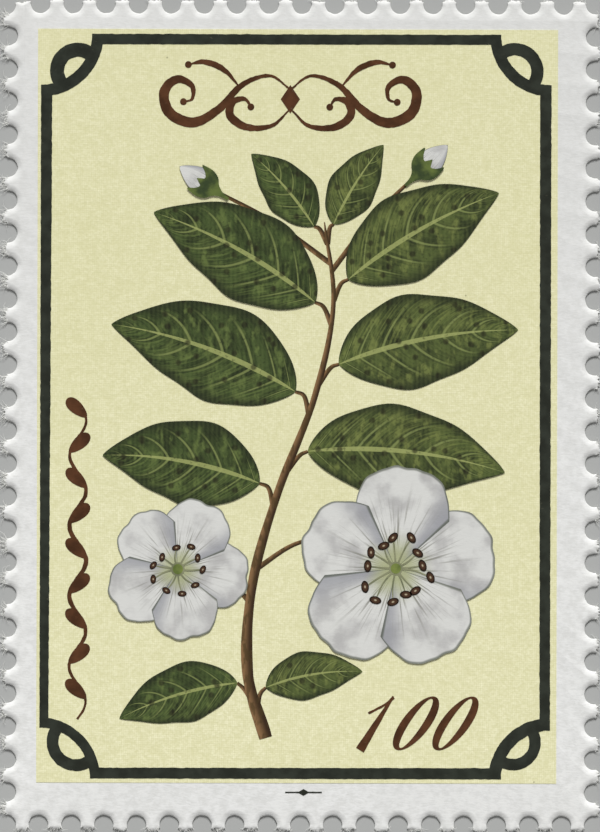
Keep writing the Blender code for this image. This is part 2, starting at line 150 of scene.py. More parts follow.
def add(tree, kind, inputs, **settings):
    """One shader node: its settings, then its inputs, each a plain value or another node's output."""
    made = tree.nodes.new("ShaderNode" + kind)
    for setting, value in settings.items():
        setattr(made, setting, value)
    for socket, value in inputs.items():
        if isinstance(value, bpy.types.NodeSocket):
            tree.links.new(value, made.inputs[socket])
        else:
            made.inputs[socket].default_value = value
    return made


def millimetres(tree, stretch=(1, 1, 1), turn=0.0):
    """Object coordinates in millimetres, so that a texture's scale is in cycles to the millimetre."""
    place = add(tree, "TexCoord", {}).outputs["Object"]
    scale = [1 / MM * factor for factor in stretch]
    return add(tree, "Mapping", {"Vector": place, "Scale": scale, "Rotation": (0, 0, turn)}).outputs["Vector"]


def pointed(tree, value, low, high, low_to=0.0, high_to=1.0):
    """A value eased from one range to another, and held at both ends."""
    limits = {"Value": value, "From Min": low, "From Max": high, "To Min": low_to, "To Max": high_to}
    return add(tree, "MapRange", limits, interpolation_type="SMOOTHSTEP").outputs["Result"]


def blended(tree, share, first, second, how="MIX"):
    """Two colours mixed by a share, each given as linear RGBA or as another node's output."""
    sockets = {"Fac": share, "Color1": first, "Color2": second}
    return add(tree, "MixRGB", sockets, blend_type=how).outputs["Color"]


def maths(tree, operation, *values):
    """The output of one Math node, worked out from plain values and other nodes' outputs."""
    return add(tree, "Math", dict(enumerate(values)), operation=operation).outputs[0]


def work_on(piece):
    """Only this piece is selected and active, as after a click on it."""
    bpy.ops.object.select_all(action="DESELECT")
    piece.select_set(True)
    bpy.context.view_layer.objects.active = piece


def edged_plate(name, rings):
    """A closed plate: a filled outline, extruded once for each further ring and moved onto it."""
    bpy.ops.object.select_all(action="DESELECT")
    bpy.ops.mesh.primitive_circle_add(vertices=len(rings[0]), radius=1, fill_type="NGON")
    plate = bpy.context.object
    plate.name = name
    corners = plate.data.vertices
    for corner, spot in zip(corners, rings[0]):
        corner.co = spot
    top = list(range(len(rings[0])))
    for ring in rings[1:]:
        number_at = {tuple(corners[index].co): number for number, index in enumerate(top)}
        bpy.ops.object.mode_set(mode="EDIT")
        bpy.ops.mesh.extrude_region_move()
        bpy.ops.object.mode_set(mode="OBJECT")
        corners = plate.data.vertices
        for corner in corners:
            if corner.select:
                number = number_at[tuple(corner.co)]
                corner.co = ring[number]
                top[number] = corner.index
    bpy.ops.object.mode_set(mode="EDIT")
    bpy.ops.mesh.select_all(action="SELECT")
    bpy.ops.mesh.normals_make_consistent(inside=False)
    bpy.ops.object.mode_set(mode="OBJECT")
    return plate


def raise_up(piece, height):
    """Extrudes a flat piece upwards by a height in metres, with its faces turned outwards."""
    work_on(piece)
    bpy.ops.object.mode_set(mode="EDIT")
    bpy.ops.mesh.select_all(action="SELECT")
    bpy.ops.mesh.extrude_region_move(TRANSFORM_OT_translate={"value": (0, 0, height)})
    bpy.ops.mesh.select_all(action="SELECT")
    bpy.ops.mesh.normals_make_consistent(inside=False)
    bpy.ops.object.mode_set(mode="OBJECT")


def hand_in(piece, material, slot, *nodes):
    """The finished piece takes its material, rides on the stamp and stands for its solids."""
    piece.data.materials.clear()
    piece.data.materials.append(material)
    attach(piece, "root")
    if nodes:
        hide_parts(*nodes)


gum_low, gum_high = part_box("gum_coat")
gum = edged_plate("gum_coat_dried", [comb_edge(GUM_STEP_IN, gum_low.z), comb_edge(GUM_STEP_IN, gum_high.z)])

# Dried gum: satin, faintly streaked along the web by the roller, with hair cracks about 0.4 mm apart.
gum_finish, tree, shader = new_material("polyvinyl_gum_dried", 0.38, 0.5)
along_web = add(tree, "TexNoise", {"Vector": millimetres(tree, (0.3, 2.2, 1)), "Scale": 1.2, "Detail": 4.0})
cracks = add(tree, "TexVoronoi", {"Vector": millimetres(tree), "Scale": 2.4}, feature="DISTANCE_TO_EDGE")
crack = pointed(tree, cracks.outputs["Distance"], 0.0, 0.05)
streak = pointed(tree, along_web.outputs["Fac"], 0.35, 0.65)
gum_tone = blended(tree, streak, linear("DEDACB"), linear("E8E5DA"))
gum_tone = blended(tree, crack, linear("CFC9B6"), gum_tone)
tree.links.new(gum_tone, shader.inputs["Base Color"])
groove = add(tree, "Bump", {"Height": crack, "Distance": 0.003 * MM, "Strength": 0.6})
tree.links.new(groove.outputs["Normal"], shader.inputs["Normal"])
hand_in(gum, gum_finish, "gum", "gum_coat")

# The paper sheet: white wove stamp paper a tenth of a millimetre thick, uncoated, made from wood pulp.
# Each round pin pushes the rim of its hole down, so every hole has a soft shoulder that catches the light.
SHOULDER = [(0.0, 0.0), (0.0, 0.016), (0.014, 0.030), (0.045, 0.047), (0.085, 0.063), (0.125, 0.076),
            (0.165, 0.087), (0.205, 0.095), (0.240, 0.099), (0.255, 0.100)]
SMOOTH_ANGLE = math.radians(55)
SPECKS_PER_MM = 0.12
SPECK_EDGE = (0.002, 0.007)

paper_low, paper_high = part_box("paper_sheet")
paper = edged_plate("paper_sheet_perforated",
                    [comb_edge(step_in, paper_low.z + rise * MM) for step_in, rise in SHOULDER])
bpy.ops.object.shade_smooth_by_angle(angle=SMOOTH_ANGLE)


def paper_grain(tree):
    """The pulp's surface: fibres 0.03 mm wide lying mostly across the sheet, over soft lumps of 0.3 mm."""
    fibres = add(tree, "TexNoise", {"Vector": millimetres(tree, (0.45, 1.5, 1), 0.12), "Scale": 9.0,
                                    "Detail": 3.0, "Roughness": 0.6, "Distortion": 0.6})
    lumps = add(tree, "TexNoise", {"Vector": millimetres(tree), "Scale": 3.2, "Detail": 2.0})
    return maths(tree, "ADD", fibres.outputs["Fac"], lumps.outputs["Fac"])


def painted_shade_toward_head(tree, most):
    """A share for painted shade that grows from the sheet's foot to its head, where the painted shade is
    deepest.
    """
    height = add(tree, "SeparateXYZ", {"Vector": millimetres(tree)}).outputs["Y"]
    return pointed(tree, height, -half_y, half_y, 0.0, most)


def dirt_specks(tree, most):
    """A share that is above zero only in specks of dirt, a tenth of a millimetre wide and 8 mm apart."""
    cells = add(tree, "TexVoronoi", {"Vector": millimetres(tree), "Scale": SPECKS_PER_MM},
                voronoi_dimensions="2D")
    return pointed(tree, cells.outputs["Distance"], *SPECK_EDGE, most, 0.0)


def embossed(tree, shader, height, depth):
    """The shader's surface takes the paper's grain, its depth given in millimetres."""
    bump = add(tree, "Bump", {"Height": height, "Distance": depth * MM, "Strength": 1.0})
    tree.links.new(bump.outputs["Normal"], shader.inputs["Normal"])


# Uncoated wood-pulp paper: matt, white, a little darker where the pulp is thin, with painted shade that greys
# it toward the head, and with a few grey specks of dirt.
pulp, tree, shader = new_material("wood_pulp_paper_uncoated", 0.9, 0.15)
grain = paper_grain(tree)
tone = blended(tree, pointed(tree, grain, 0.7, 1.3), linear("E0E0DD"), linear("EFEFED"))
# Painted shade: the paper greys toward the head, standing in for weaker light there.
tone = blended(tree, painted_shade_toward_head(tree, 0.5), tone, linear("D8D8D5"))
cloud = add(tree, "TexNoise", {"Vector": millimetres(tree), "Scale": 0.16, "Detail": 3.0})
tone = blended(tree, pointed(tree, cloud.outputs["Fac"], 0.35, 0.65), tone, linear("EBEBE8"), "DARKEN")
tone = blended(tree, dirt_specks(tree, 0.55), tone, linear("8F908A"))
tree.links.new(tone, shader.inputs["Base Color"])
embossed(tree, shader, grain, 0.006)
hand_in(paper, pulp, "paper", "paper_sheet")

# The torn fibres: where a bridge between two holes was torn, single pulp fibres stand out of the sheet.
# They lie nearly flat, curl a little and taper to a quarter of their width.
FIBRES = {"foot": 24, "right": 16, "head": 9, "left": 40}
FIBRE_LENGTH = {"foot": 0.38, "right": 0.34, "head": 0.24, "left": 0.52}
FIBRE_COUNT_SPREAD = (0.6, 1.3)
FIBRE_ACROSS = (0.04, 0.96)
FIBRE_HEIGHT = (0.05, 0.55)
FIBRE_WAVER = (-0.012, 0.010)
FIBRE_LENGTH_SPREAD = (0.35, 1.0)
FIBRE_STUB = 0.06
FIBRE_SINK = 0.05
FIBRE_LEAN, FIBRE_CURL = 0.55, 1.3
FIBRE_RADIUS = 0.010
FIBRE_TAPER = 0.75
FIBRE_POINTS = 6
FIBRE_SEED = 23

strand_curve = bpy.data.curves.new("torn_fibres", "CURVE")
strand_curve.dimensions = "3D"
strand_curve.bevel_depth = FIBRE_RADIUS * MM
strand_curve.bevel_resolution = 0
strand_curve.use_fill_caps = True
loose = random.Random(FIBRE_SEED)
for side, corner, heading, teeth, pitch in EDGE_SIDES:
    along = flat(math.cos(math.radians(heading)), math.sin(math.radians(heading)))
    outward = flat(along.y, -along.x)
    for tooth in range(teeth):
        for _ in range(int(FIBRES[side] * loose.uniform(*FIBRE_COUNT_SPREAD))):
            across = PIN_RADIUS + (pitch - 2 * PIN_RADIUS) * loose.uniform(*FIBRE_ACROSS)
            torn_at = past_line(OVERRUN[side], 0.0)[0] - PIN_INSET - TORN_SHORT.get((side, tooth), 0)
            spot = flat(*corner) + along * (pitch * tooth + across) + outward * (torn_at - FIBRE_SINK)
            spot.z = (paper_low.z + (paper_high.z - paper_low.z) * loose.uniform(*FIBRE_HEIGHT)) / MM
            lean = loose.gauss(0, FIBRE_LEAN)
            curl = loose.gauss(0, FIBRE_CURL)
            reach = FIBRE_LENGTH[side] * loose.uniform(*FIBRE_LENGTH_SPREAD) + FIBRE_STUB
            strand = strand_curve.splines.new("POLY")
            strand.points.add(FIBRE_POINTS - 1)
            for i, point in enumerate(strand.points):
                share = i / (FIBRE_POINTS - 1)
                turn = lean + curl * share
                point.co = (*(spot * MM), 1)
                point.radius = 1.0 - FIBRE_TAPER * share
                step = (outward * math.cos(turn) + along * math.sin(turn)) * reach / (FIBRE_POINTS - 1)
                spot = spot + step
                spot.z = max(spot.z + loose.uniform(*FIBRE_WAVER), FIBRE_RADIUS)
fibres = bpy.data.objects.new("torn_fibres", strand_curve)
bpy.context.scene.collection.objects.link(fibres)
work_on(fibres)
bpy.ops.object.convert(target="MESH")
fibres = bpy.context.object

# Bare pulp fibres: clean white cellulose, matt, a little brighter than the sized face of the sheet.
cellulose, tree, shader = new_material("bare_cellulose_fibre", 0.8, 0.2)
uneven = add(tree, "TexNoise", {"Vector": millimetres(tree), "Scale": 4.0})
bare_white = blended(tree, uneven.outputs["Fac"], linear("E4E4DF"), linear("F6F6F2"))
tree.links.new(bare_white, shader.inputs["Base Color"])
hand_in(fibres, cellulose, "paper")

# The tint panel: a pale yellow flat printed by offset first, under everything else. It sits a quarter of a
# millimetre off the frame line, because the two colours were printed by two plates. The solid is right as it
# is, so it only takes the ink.
SCREEN_PITCH = 0.093
TINT_SKEW = 0.008
WAVE_UNIT = 0.314

# Offset tint on uncoated paper: the dot screen's rows, 0.093 mm apart, show through as a faint weave, and the
# ink lies thinner on the high fibres, so the yellow is slightly uneven. Dirt specks show here too. A wave
# texture of scale 1 repeats every WAVE_UNIT.
tint, tree, shader = new_material("offset_tint_ink_yellow", 0.85, 0.15)
grain = paper_grain(tree)
bare_spots, low_spots = linear("FAF7D3"), linear("D7D4A2")
cloud = add(tree, "TexNoise", {"Vector": millimetres(tree), "Scale": 0.11, "Detail": 2.0})
yellow = blended(tree, pointed(tree, cloud.outputs["Fac"], 0.3, 0.7, 0.0, 0.25), bare_spots, linear("E9E6B8"))
# Painted shade: the yellow greys toward the head, standing in for weaker light there.
yellow = blended(tree, painted_shade_toward_head(tree, 0.25), yellow, linear("DAD7AA"))
yellow = blended(tree, pointed(tree, grain, 0.7, 1.3, 0.50, 0.0), yellow, low_spots)
tooth = add(tree, "TexNoise", {"Vector": millimetres(tree), "Scale": 8.0, "Detail": 1.0})
yellow = blended(tree, pointed(tree, tooth.outputs["Fac"], 0.35, 0.65, 0.0, 0.42), yellow, low_spots)
for direction in ("X", "Y"):
    skewed = millimetres(tree, (1, 1, 1), TINT_SKEW)
    rows = add(tree, "TexWave", {"Vector": skewed, "Scale": WAVE_UNIT / SCREEN_PITCH, "Distortion": 1.2,
                                 "Detail": 2.0, "Detail Scale": 1.5}, bands_direction=direction)
    yellow = blended(tree, pointed(tree, rows.outputs["Fac"], 0.0, 1.0, 0.0, 0.26), yellow, low_spots)
yellow = blended(tree, dirt_specks(tree, 0.6), yellow, linear("7F7C5E"))
tree.links.new(yellow, shader.inputs["Base Color"])
embossed(tree, shader, grain, 0.005)
tint_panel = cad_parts["tint_panel"]
tint_panel.data.materials.clear()
tint_panel.data.materials.append(tint)

# The frame line: a bar of greenish black ink round the picture, with a hollow arc across each corner and a
# round loop drawn outside the arc. Offset ink creeps along the fibres, so its edges are slightly rough. A bar
# is its width at both ends. A corner is its arc's radius and width, then its loop's.
BARS = [(0.464, 0.484), (0.458, 0.497), (0.432, 0.449), (0.493, 0.388)]
CORNERS = [(2.427, 0.440, 1.025, 0.515), (2.403, 0.541, 0.955, 0.500), (2.440, 0.490, 0.980, 0.537),
           (2.473, 0.505, 0.905, 0.615)]
LOOP_OFFSET = 1.600
LINE_OVERLAP = 0.05
LINE_STEP, ARC_STEP = 0.16, 0.10
INK_CREEP = 0.022
CREEPS_PER_MM = 6.0


def merged_film(name, shapes, bottom, top):
    """Overlapping flat shapes in mm merged into one film: filled in the plane, then extruded to its top."""
    faces = []
    start = 0
    for shape in shapes:
        faces.append(list(range(start, start + len(shape))))
        start += len(shape)
    spots = [spot.to_2d() for shape in shapes for spot in shape]
    corners, _, triangles, _, _, sources = delaunay_2d_cdt(spots, [], faces, 1, 1e-6)
    mesh = bpy.data.meshes.new(name)
    covered = [tuple(triangle) for triangle, source in zip(triangles, sources) if source]
    mesh.from_pydata([(x * MM, y * MM, bottom) for x, y in corners], [], covered)
    piece = bpy.data.objects.new(name, mesh)
    bpy.context.scene.collection.objects.link(piece)
    raise_up(piece, top - bottom)
    work_on(piece)
    bpy.ops.object.mode_set(mode="EDIT")
    bpy.ops.mesh.select_all(action="SELECT")
    bpy.ops.mesh.delete_loose()
    bpy.ops.object.mode_set(mode="OBJECT")
    return piece


def across_line(line, i):
    """The unit vector across a line at one of its points, to its left."""
    ahead = (line[min(i + 1, len(line) - 1)] - line[max(i - 1, 0)]).normalized()
    return flat(-ahead.y, ahead.x)


def strip(line, width_at, creep=INK_CREEP):
    """Four-sided shapes along a line, as wide as width_at says, with the ink's rough edge on both sides."""
    last = len(line) - 1
    left, right = [], []
    for i, spot in enumerate(line):
        half = width_at(i / last) / 2
        step = across_line(line, i)
        near = spot + step * half
        far = spot - step * half
        left.append(near + step * creep * noise.noise(near * CREEPS_PER_MM))
        right.append(far - step * creep * noise.noise(far * CREEPS_PER_MM))
    return [[right[i], right[i + 1], left[i + 1], left[i]] for i in range(last)]


def arc_line(middle, radius, first, last):
    """Points along an arc, about ARC_STEP apart, angles in degrees."""
    steps = max(4, round(abs(math.radians(last - first)) * radius / ARC_STEP))
    angles = [math.radians(first + (last - first) * i / steps) for i in range(steps + 1)]
    return [middle + radius * flat(math.cos(angle), math.sin(angle)) for angle in angles]


def straight_line(first, last):
    steps = max(1, round((last - first).length / LINE_STEP))
    return [first.lerp(last, i / steps) for i in range(steps + 1)]


line_low, line_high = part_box("frame_line")
line_low_mm, line_high_mm = line_low / MM, line_high / MM
frame_shapes = []
corners = [flat(line_low_mm.x, line_low_mm.y), flat(line_high_mm.x, line_low_mm.y),
           flat(line_high_mm.x, line_high_mm.y), flat(line_low_mm.x, line_high_mm.y)]
bars_begin = [arc_radius - arc_width / 2 + LINE_OVERLAP for arc_radius, arc_width, _, _ in CORNERS]
for turn, corner in enumerate(corners):
    arc_radius, arc_width, loop_radius, loop_width = CORNERS[turn]
    frame_shapes += strip(arc_line(corner, arc_radius, 90 * turn, 90 * turn + 90), lambda share: arc_width)
    diagonal = flat(math.cos(math.radians(90 * turn + 45)), math.sin(math.radians(90 * turn + 45)))
    loop_middle = corner + diagonal * LOOP_OFFSET * math.sqrt(2)
    loop = arc_line(loop_middle, loop_radius, 90 * turn + 135, 90 * turn + 315)
    frame_shapes += strip(loop, lambda share: loop_width)
    following = (turn + 1) % 4
    ahead = (corners[following] - corner).normalized()
    inward = flat(-ahead.y, ahead.x)
    first_width, last_width = BARS[turn]
    first = corner + ahead * bars_begin[turn] + inward * first_width / 2
    last = corners[following] - ahead * bars_begin[following] + inward * last_width / 2
    bar = straight_line(first, last)
    frame_shapes += strip(bar, lambda share: first_width + (last_width - first_width) * share)
frame_line = merged_film("frame_line_printed", frame_shapes, line_low.z, line_high.z)


def pressed_ink(name, deep, thin, light_spots):
    """Offset ink on uncoated paper: a solid that breaks up slightly on the grain, where the paper shows."""
    ink, tree, shader = new_material(name, 0.75, 0.12)
    grain = paper_grain(tree)
    patches = add(tree, "TexNoise", {"Vector": millimetres(tree), "Scale": 1.8, "Detail": 3.0})
    colour = blended(tree, pointed(tree, patches.outputs["Fac"], 0.3, 0.7), linear(deep), linear(thin))
    bare = pointed(tree, grain, 1.25, 1.5, 0.0, light_spots)
    colour = blended(tree, bare, colour, linear("8C8870"))
    tree.links.new(colour, shader.inputs["Base Color"])
    embossed(tree, shader, grain, 0.004)
    return ink


black_ink = pressed_ink("offset_ink_greenish_black", "272A23", "33372F", 0.22)
hand_in(frame_line, black_ink, "frame_ink", "frame_line")

# The twig: the first drawing over the tint, a brown woody shoot with a thin stalk out to each leaf, blossom
# and bud. Its roundness is only drawn. The stalks take the lower part of its film, each a little over the
# last, and the twig takes the top.
TWIG = [(-1.5, -14.1), (-2.3, -11.2), (-2.1, -7.4), (-1.0, -3.4), (0.6, 0.8), (1.4, 4.8), (1.0, 8.4)]
TWIG_WIDTH = (0.56, 0.14)
TWIG_STEPS, TWIG_ACROSS = 14, 8
TWIG_FROM, TWIG_FILM = 0.6, 0.4
STALK_WIDTH = (0.24, 0.14)
STALK_STEPS = 8
STALK_LAYERS, STALK_FILM = 0.5, 0.04
TWIG_JOINTS = [0.080, 0.070, 0.475, 0.530, 0.635, 0.685, 0.795, 0.840, 0.955, 0.955]
BLOSSOM_STALKS = [(0.36, (0.9, -5.3)), (0.30, (-3.6, -7.4))]
BUD_STALKS = [(0.915, (-3.75, 9.75)), (0.90, (5.0, 10.45))]
LEAVES = [
    ("leaf_foot_left", (-2.75, -11.7), 186, 5.4, 2.6, 22),
    ("leaf_foot_right", (-1.50, -11.9), 22, 4.3, 2.1, -25),
    ("leaf_low_left", (-1.80, -3.0), 158, 7.0, 3.8, 24),
    ("leaf_low_right", (0.30, -1.6), 6, 8.7, 4.0, -24),
    ("leaf_mid_left", (-0.25, 1.0), 148, 8.6, 4.3, 24),
    ("leaf_mid_right", (1.65, 2.2), 22, 8.0, 4.1, -22),
    ("leaf_high_left", (0.60, 4.9), 140, 8.1, 4.0, 22),
    ("leaf_high_right", (2.05, 5.9), 40, 7.6, 3.8, -20),
    ("leaf_tip_left", (0.55, 8.2), 122, 4.2, 2.2, 18),
    ("leaf_tip_right", (1.40, 8.3), 66, 4.1, 2.1, -16),
]


def smooth_line(points, steps):
    """A Catmull-Rom curve through the points, in mm, with this many steps for each span."""
    spots = [flat(*point) for point in points]
    spots = [2 * spots[0] - spots[1], *spots, 2 * spots[-1] - spots[-2]]
    line = []
    for a, b, c, d in zip(spots, spots[1:], spots[2:], spots[3:]):
        for i in range(steps):
            t = i / steps
            line.append(0.5 * (2 * b + (c - a) * t + (2 * a - 5 * b + 4 * c - d) * t**2
                               + (3 * b - a - 3 * c + d) * t**3))
    line.append(spots[-2].copy())
    return line


def on_line(line, share):
    at = share * (len(line) - 1)
    i = min(int(at), len(line) - 2)
    return line[i].lerp(line[i + 1], at - i)


def laid_grid(name, along, across, place_at, bottom, thickness):
    """A grid of thin film whose points are placed, in mm, by their share along it and their side, -1 to 1.

    Its map keeps the share along it as X and the side as Y, both from 0 to 1.
    """
    bpy.ops.object.select_all(action="DESELECT")
    bpy.ops.mesh.primitive_grid_add(x_subdivisions=along, y_subdivisions=across, size=1)
    film = bpy.context.object
    film.name = name
    for vertex in film.data.vertices:
        spot = place_at(vertex.co.x + 0.5, vertex.co.y * 2)
        vertex.co = (spot.x * MM, spot.y * MM, bottom)
    raise_up(film, thickness)
    return film


def laid_band(name, line, half_width, bottom, thickness, across=4):
    """A grid laid along a line in mm, with half its width given at each share and side."""
    steps = len(line) - 1

    def place_at(share, side):
        i = round(share * steps)
        return line[i] + across_line(line, i) * side * half_width(share, side)
    return laid_grid(name, steps, across, place_at, bottom, thickness)


def join_up(name, parts):
    """Several parts joined into one piece under this name."""
    work_on(parts[0])
    for part in parts:
        part.select_set(True)
    bpy.ops.object.join()
    parts[0].name = name
    return parts[0]


twig_low, twig_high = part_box("twig")
film = twig_high.z - twig_low.z
twig_line = smooth_line(TWIG, TWIG_STEPS)
stalk_ends = [(share, leaf[1]) for share, leaf in zip(TWIG_JOINTS, LEAVES)] + BLOSSOM_STALKS + BUD_STALKS
shoots = []


def stalk_half_width(share, side):
    return (STALK_WIDTH[0] + (STALK_WIDTH[1] - STALK_WIDTH[0]) * share) / 2


for number, (share, end) in enumerate(stalk_ends):
    joint = on_line(twig_line, share)
    ahead = on_line(twig_line, min(share + 0.04, 1.0)) - joint
    middle = joint.lerp(flat(*end), 0.5) + ahead * 0.3
    stalk_line = smooth_line([joint[:2], middle[:2], end], STALK_STEPS)
    lift = film * STALK_LAYERS * number / len(stalk_ends)
    shoots.append(laid_band("stalk", stalk_line, stalk_half_width, twig_low.z + lift, film * STALK_FILM))


def twig_half_width(share, side):
    """Half the twig's width: thick at the cut foot, thin at the tip, swollen at its nodes."""
    width = TWIG_WIDTH[0] + (TWIG_WIDTH[1] - TWIG_WIDTH[0]) * share
    knots = 0.04 * math.sin(37 * share) + 0.03 * noise.noise(Vector((share * 30, side, 0)))
    return (width + knots * (1 - share)) / 2 * (1 - 0.7 * max(share - 0.97, 0.0) / 0.03)


twig_bottom = twig_low.z + film * TWIG_FROM
shoots.append(laid_band("twig", twig_line, twig_half_width, twig_bottom, film * TWIG_FILM, TWIG_ACROSS))
twig = join_up("twig_printed", shoots)

# Printed bark: brown ink, light along one side and dark along the other, with short strokes along the shoot.
bark, tree, shader = new_material("offset_ink_bark_brown", 0.8, 0.12)
drawn = add(tree, "TexCoord", {}).outputs["UV"]
place = add(tree, "SeparateXYZ", {"Vector": drawn})
strokes = add(tree, "TexNoise", {"Vector": millimetres(tree, (2.2, 0.7, 1)), "Scale": 3.0, "Detail": 4.0})
lit = pointed(tree, place.outputs["Y"], 0.15, 0.95)
colour = blended(tree, lit, linear("3A2A1C"), linear("8A6A48"))
colour = blended(tree, pointed(tree, strokes.outputs["Fac"], 0.45, 0.6, 0.0, 0.7), colour, linear("4A3B22"))
tree.links.new(colour, shader.inputs["Base Color"])
embossed(tree, shader, paper_grain(tree), 0.004)
hand_in(twig, bark, "twig_ink", "twig")

# The leaves: ten broad blades in pairs, printed in deep greens over the tint. Each is drawn with a pale
# midrib and side veins that run forward, and with one half in the light and one in the shade.
LEAF_STEPS = 56
LEAF_ACROSS = 24
SIDE_VEINS = 9.0
LEAF_SCREEN_PITCH = 0.198


def leaf_half_width(width):
    """Half the blade's width along its midrib: broad below the middle and drawn out to a point."""
    def half(share, side):
        body = width / 2 * math.sin(math.pi * share**0.86) ** 0.82 * (1.08 - 0.22 * share)
        wave = 1 + 0.030 * math.sin((19 if side > 0 else 17) * share + (0 if side > 0 else 2)) * abs(side)
        return max(body, 0.0) * wave
    return half


def leaf_midrib(foot, heading, length, bend):
    """The line of the midrib in mm, turning evenly, with its points closer together at both ends."""
    shares = [(1 - math.cos(math.pi * i / LEAF_STEPS)) / 2 for i in range(LEAF_STEPS + 1)]
    line = [flat(*foot)]
    for first, last in zip(shares, shares[1:]):
        angle = math.radians(heading + bend * (first + last) / 2)
        line.append(line[-1] + flat(math.cos(angle), math.sin(angle)) * length * (last - first))
    return line, shares


def leaf_ink(name, light, middle, dark, turn):
    """Several greens laid over each other in small brush marks, so that no two spots are quite alike."""
    ink, tree, shader = new_material(name, 0.8, 0.12)
    drawn = add(tree, "TexCoord", {}).outputs["UV"]
    place = add(tree, "SeparateXYZ", {"Vector": drawn})
    out, across = place.outputs["X"], place.outputs["Y"]
    from_rib = maths(tree, "SUBTRACT", across, 0.5)
    off = maths(tree, "ABSOLUTE", from_rib)
    bent = maths(tree, "MULTIPLY_ADD", off, -3.4, -1.7)
    slant = maths(tree, "MULTIPLY", bent, off)
    along = maths(tree, "MULTIPLY_ADD", out, SIDE_VEINS, slant)

    # The wash: olive greens that drift from dark to light over a millimetre or two.
    wash = add(tree, "TexNoise", {"Vector": millimetres(tree, (1, 1, 1), turn), "Scale": 0.9, "Detail": 6.0,
                                  "Roughness": 0.68})
    colour = blended(tree, pointed(tree, wash.outputs["Fac"], 0.34, 0.62), linear(dark), linear(middle))
    dabs = add(tree, "TexNoise", {"Vector": millimetres(tree, (1.5, 0.8, 1), turn), "Scale": 2.3,
                                  "Detail": 3.0})
    colour = blended(tree, pointed(tree, dabs.outputs["Fac"], 0.48, 0.70, 0.0, 0.75), colour, linear(light))

    # Brush strokes that follow the side veins, lighter on the half of the blade that is turned to the light.
    stroke_place = add(tree, "CombineXYZ", {"X": along, "Y": off}).outputs[0]
    stroke_place = add(tree, "Mapping", {"Vector": stroke_place, "Scale": (7.0, 3.0, 1)}).outputs[0]
    streaks = add(tree, "TexNoise", {"Vector": stroke_place, "Scale": 1.0, "Detail": 4.0, "Roughness": 0.65})
    lit = pointed(tree, from_rib, -0.14, 0.20, 0.15, 0.70)
    lit = maths(tree, "MULTIPLY", lit, pointed(tree, streaks.outputs["Fac"], 0.42, 0.68))
    colour = blended(tree, lit, colour, linear(light))
    dull = pointed(tree, streaks.outputs["Fac"], 0.50, 0.30, 0.0, 0.55)
    colour = blended(tree, dull, colour, linear(dark))

    # Side veins that curve forward and fade before the edge, each with a shaded line behind it.
    cycle = maths(tree, "PINGPONG", along, 0.5)
    fade = maths(tree, "MULTIPLY", pointed(tree, off, 0.43, 0.22), pointed(tree, along, 7.4, 6.4))
    vein = maths(tree, "MULTIPLY", pointed(tree, cycle, 0.020, 0.075, 0.60, 0.0), fade)
    hollow = maths(tree, "MULTIPLY", pointed(tree, cycle, 0.22, 0.08, 0.0, 0.40), fade)
    colour = blended(tree, hollow, colour, linear(dark))
    colour = blended(tree, vein, colour, linear("8F9A5C"))
    rib_width = pointed(tree, out, 0.0, 1.0, 0.036, 0.010)
    on_rib = maths(tree, "LESS_THAN", off, rib_width)
    rib = maths(tree, "MULTIPLY", on_rib, pointed(tree, out, 0.98, 0.80, 0.1, 0.8))
    colour = blended(tree, rib, colour, linear("A0A768"))

    # A dark soft border, small brown-black spots a quarter of a millimetre wide, finer flecks and the faint
    # rows of the dot screen.
    border = pointed(tree, off, 0.34, 0.495, 0.0, 0.9)
    colour = blended(tree, border, colour, linear("2A3020"))
    spots = add(tree, "TexVoronoi", {"Vector": millimetres(tree, (1, 1, 1), turn), "Scale": 0.95},
                voronoi_dimensions="2D")
    spot = pointed(tree, spots.outputs["Distance"], 0.17, 0.07, 0.0, 0.75)
    colour = blended(tree, spot, colour, linear("262519"))
    flecks = add(tree, "TexNoise", {"Vector": millimetres(tree), "Scale": 6.5, "Detail": 2.0})
    fleck = pointed(tree, flecks.outputs["Fac"], 0.54, 0.74, 0.0, 0.5)
    colour = blended(tree, fleck, colour, linear("23281B"))
    screen = add(tree, "TexWave", {"Vector": millimetres(tree), "Scale": WAVE_UNIT / LEAF_SCREEN_PITCH},
                 bands_direction="X")
    row = pointed(tree, screen.outputs["Fac"], 0.0, 1.0, 0.0, 0.05)
    colour = blended(tree, row, colour, linear("8E9A62"))
    tree.links.new(colour, shader.inputs["Base Color"])
    embossed(tree, shader, paper_grain(tree), 0.004)
    return ink


leaf_greens = [leaf_ink("offset_ink_leaf_deep_green", "687741", "43522D", "262E1C", 0.3),
               leaf_ink("offset_ink_leaf_olive_green", "7A8348", "525E33", "2D3520", 1.1)]
for number, (name, foot, heading, length, width, bend) in enumerate(LEAVES):
    low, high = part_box(name)
    midrib, shares = leaf_midrib(foot, heading, length, bend)
    half_at = leaf_half_width(width)
    share_at = {i: share for i, share in enumerate(shares)}
    leaf = laid_band(name + "_printed", midrib,
                     lambda share, side: half_at(share_at[round(share * LEAF_STEPS)], side),
                     low.z, high.z - low.z, LEAF_ACROSS)
    hand_in(leaf, leaf_greens[number % 2], "leaf_ink", name)

# The blossoms: two open five-petalled flowers printed over the leaves. The white is nearly the bare paper,
# with cool grey shading drawn in, so each petal seems to cup and to lie over the next one.
BLOSSOMS = [("blossom_large", (4.15, -6.7), 4.45, 12), ("blossom_small", (-5.35, -6.75), 3.15, -8)]
PETALS = 5
PETAL_WIDTH = 0.92
PETAL_ALONG, PETAL_ACROSS = 24, 72
PETAL_FILM = 0.7


def petal_edge(length, side):
    """The petal's edge in mm at a side from -1 to 1: broad, softly waved, with a shallow notch at its end."""
    angle = side * math.pi / 2
    notch = 1 - 0.07 * math.exp(-((angle / 0.22) ** 2))
    wave = 1 + 0.012 * math.sin(7 * angle + length * 3) + 0.003 * math.sin(17 * angle + length)
    reach = length * (0.50 + 0.50 * max(math.cos(angle), 0.0) ** 0.8 * notch) * wave
    return flat(reach, length * PETAL_WIDTH / 2 * math.sin(angle) * wave)


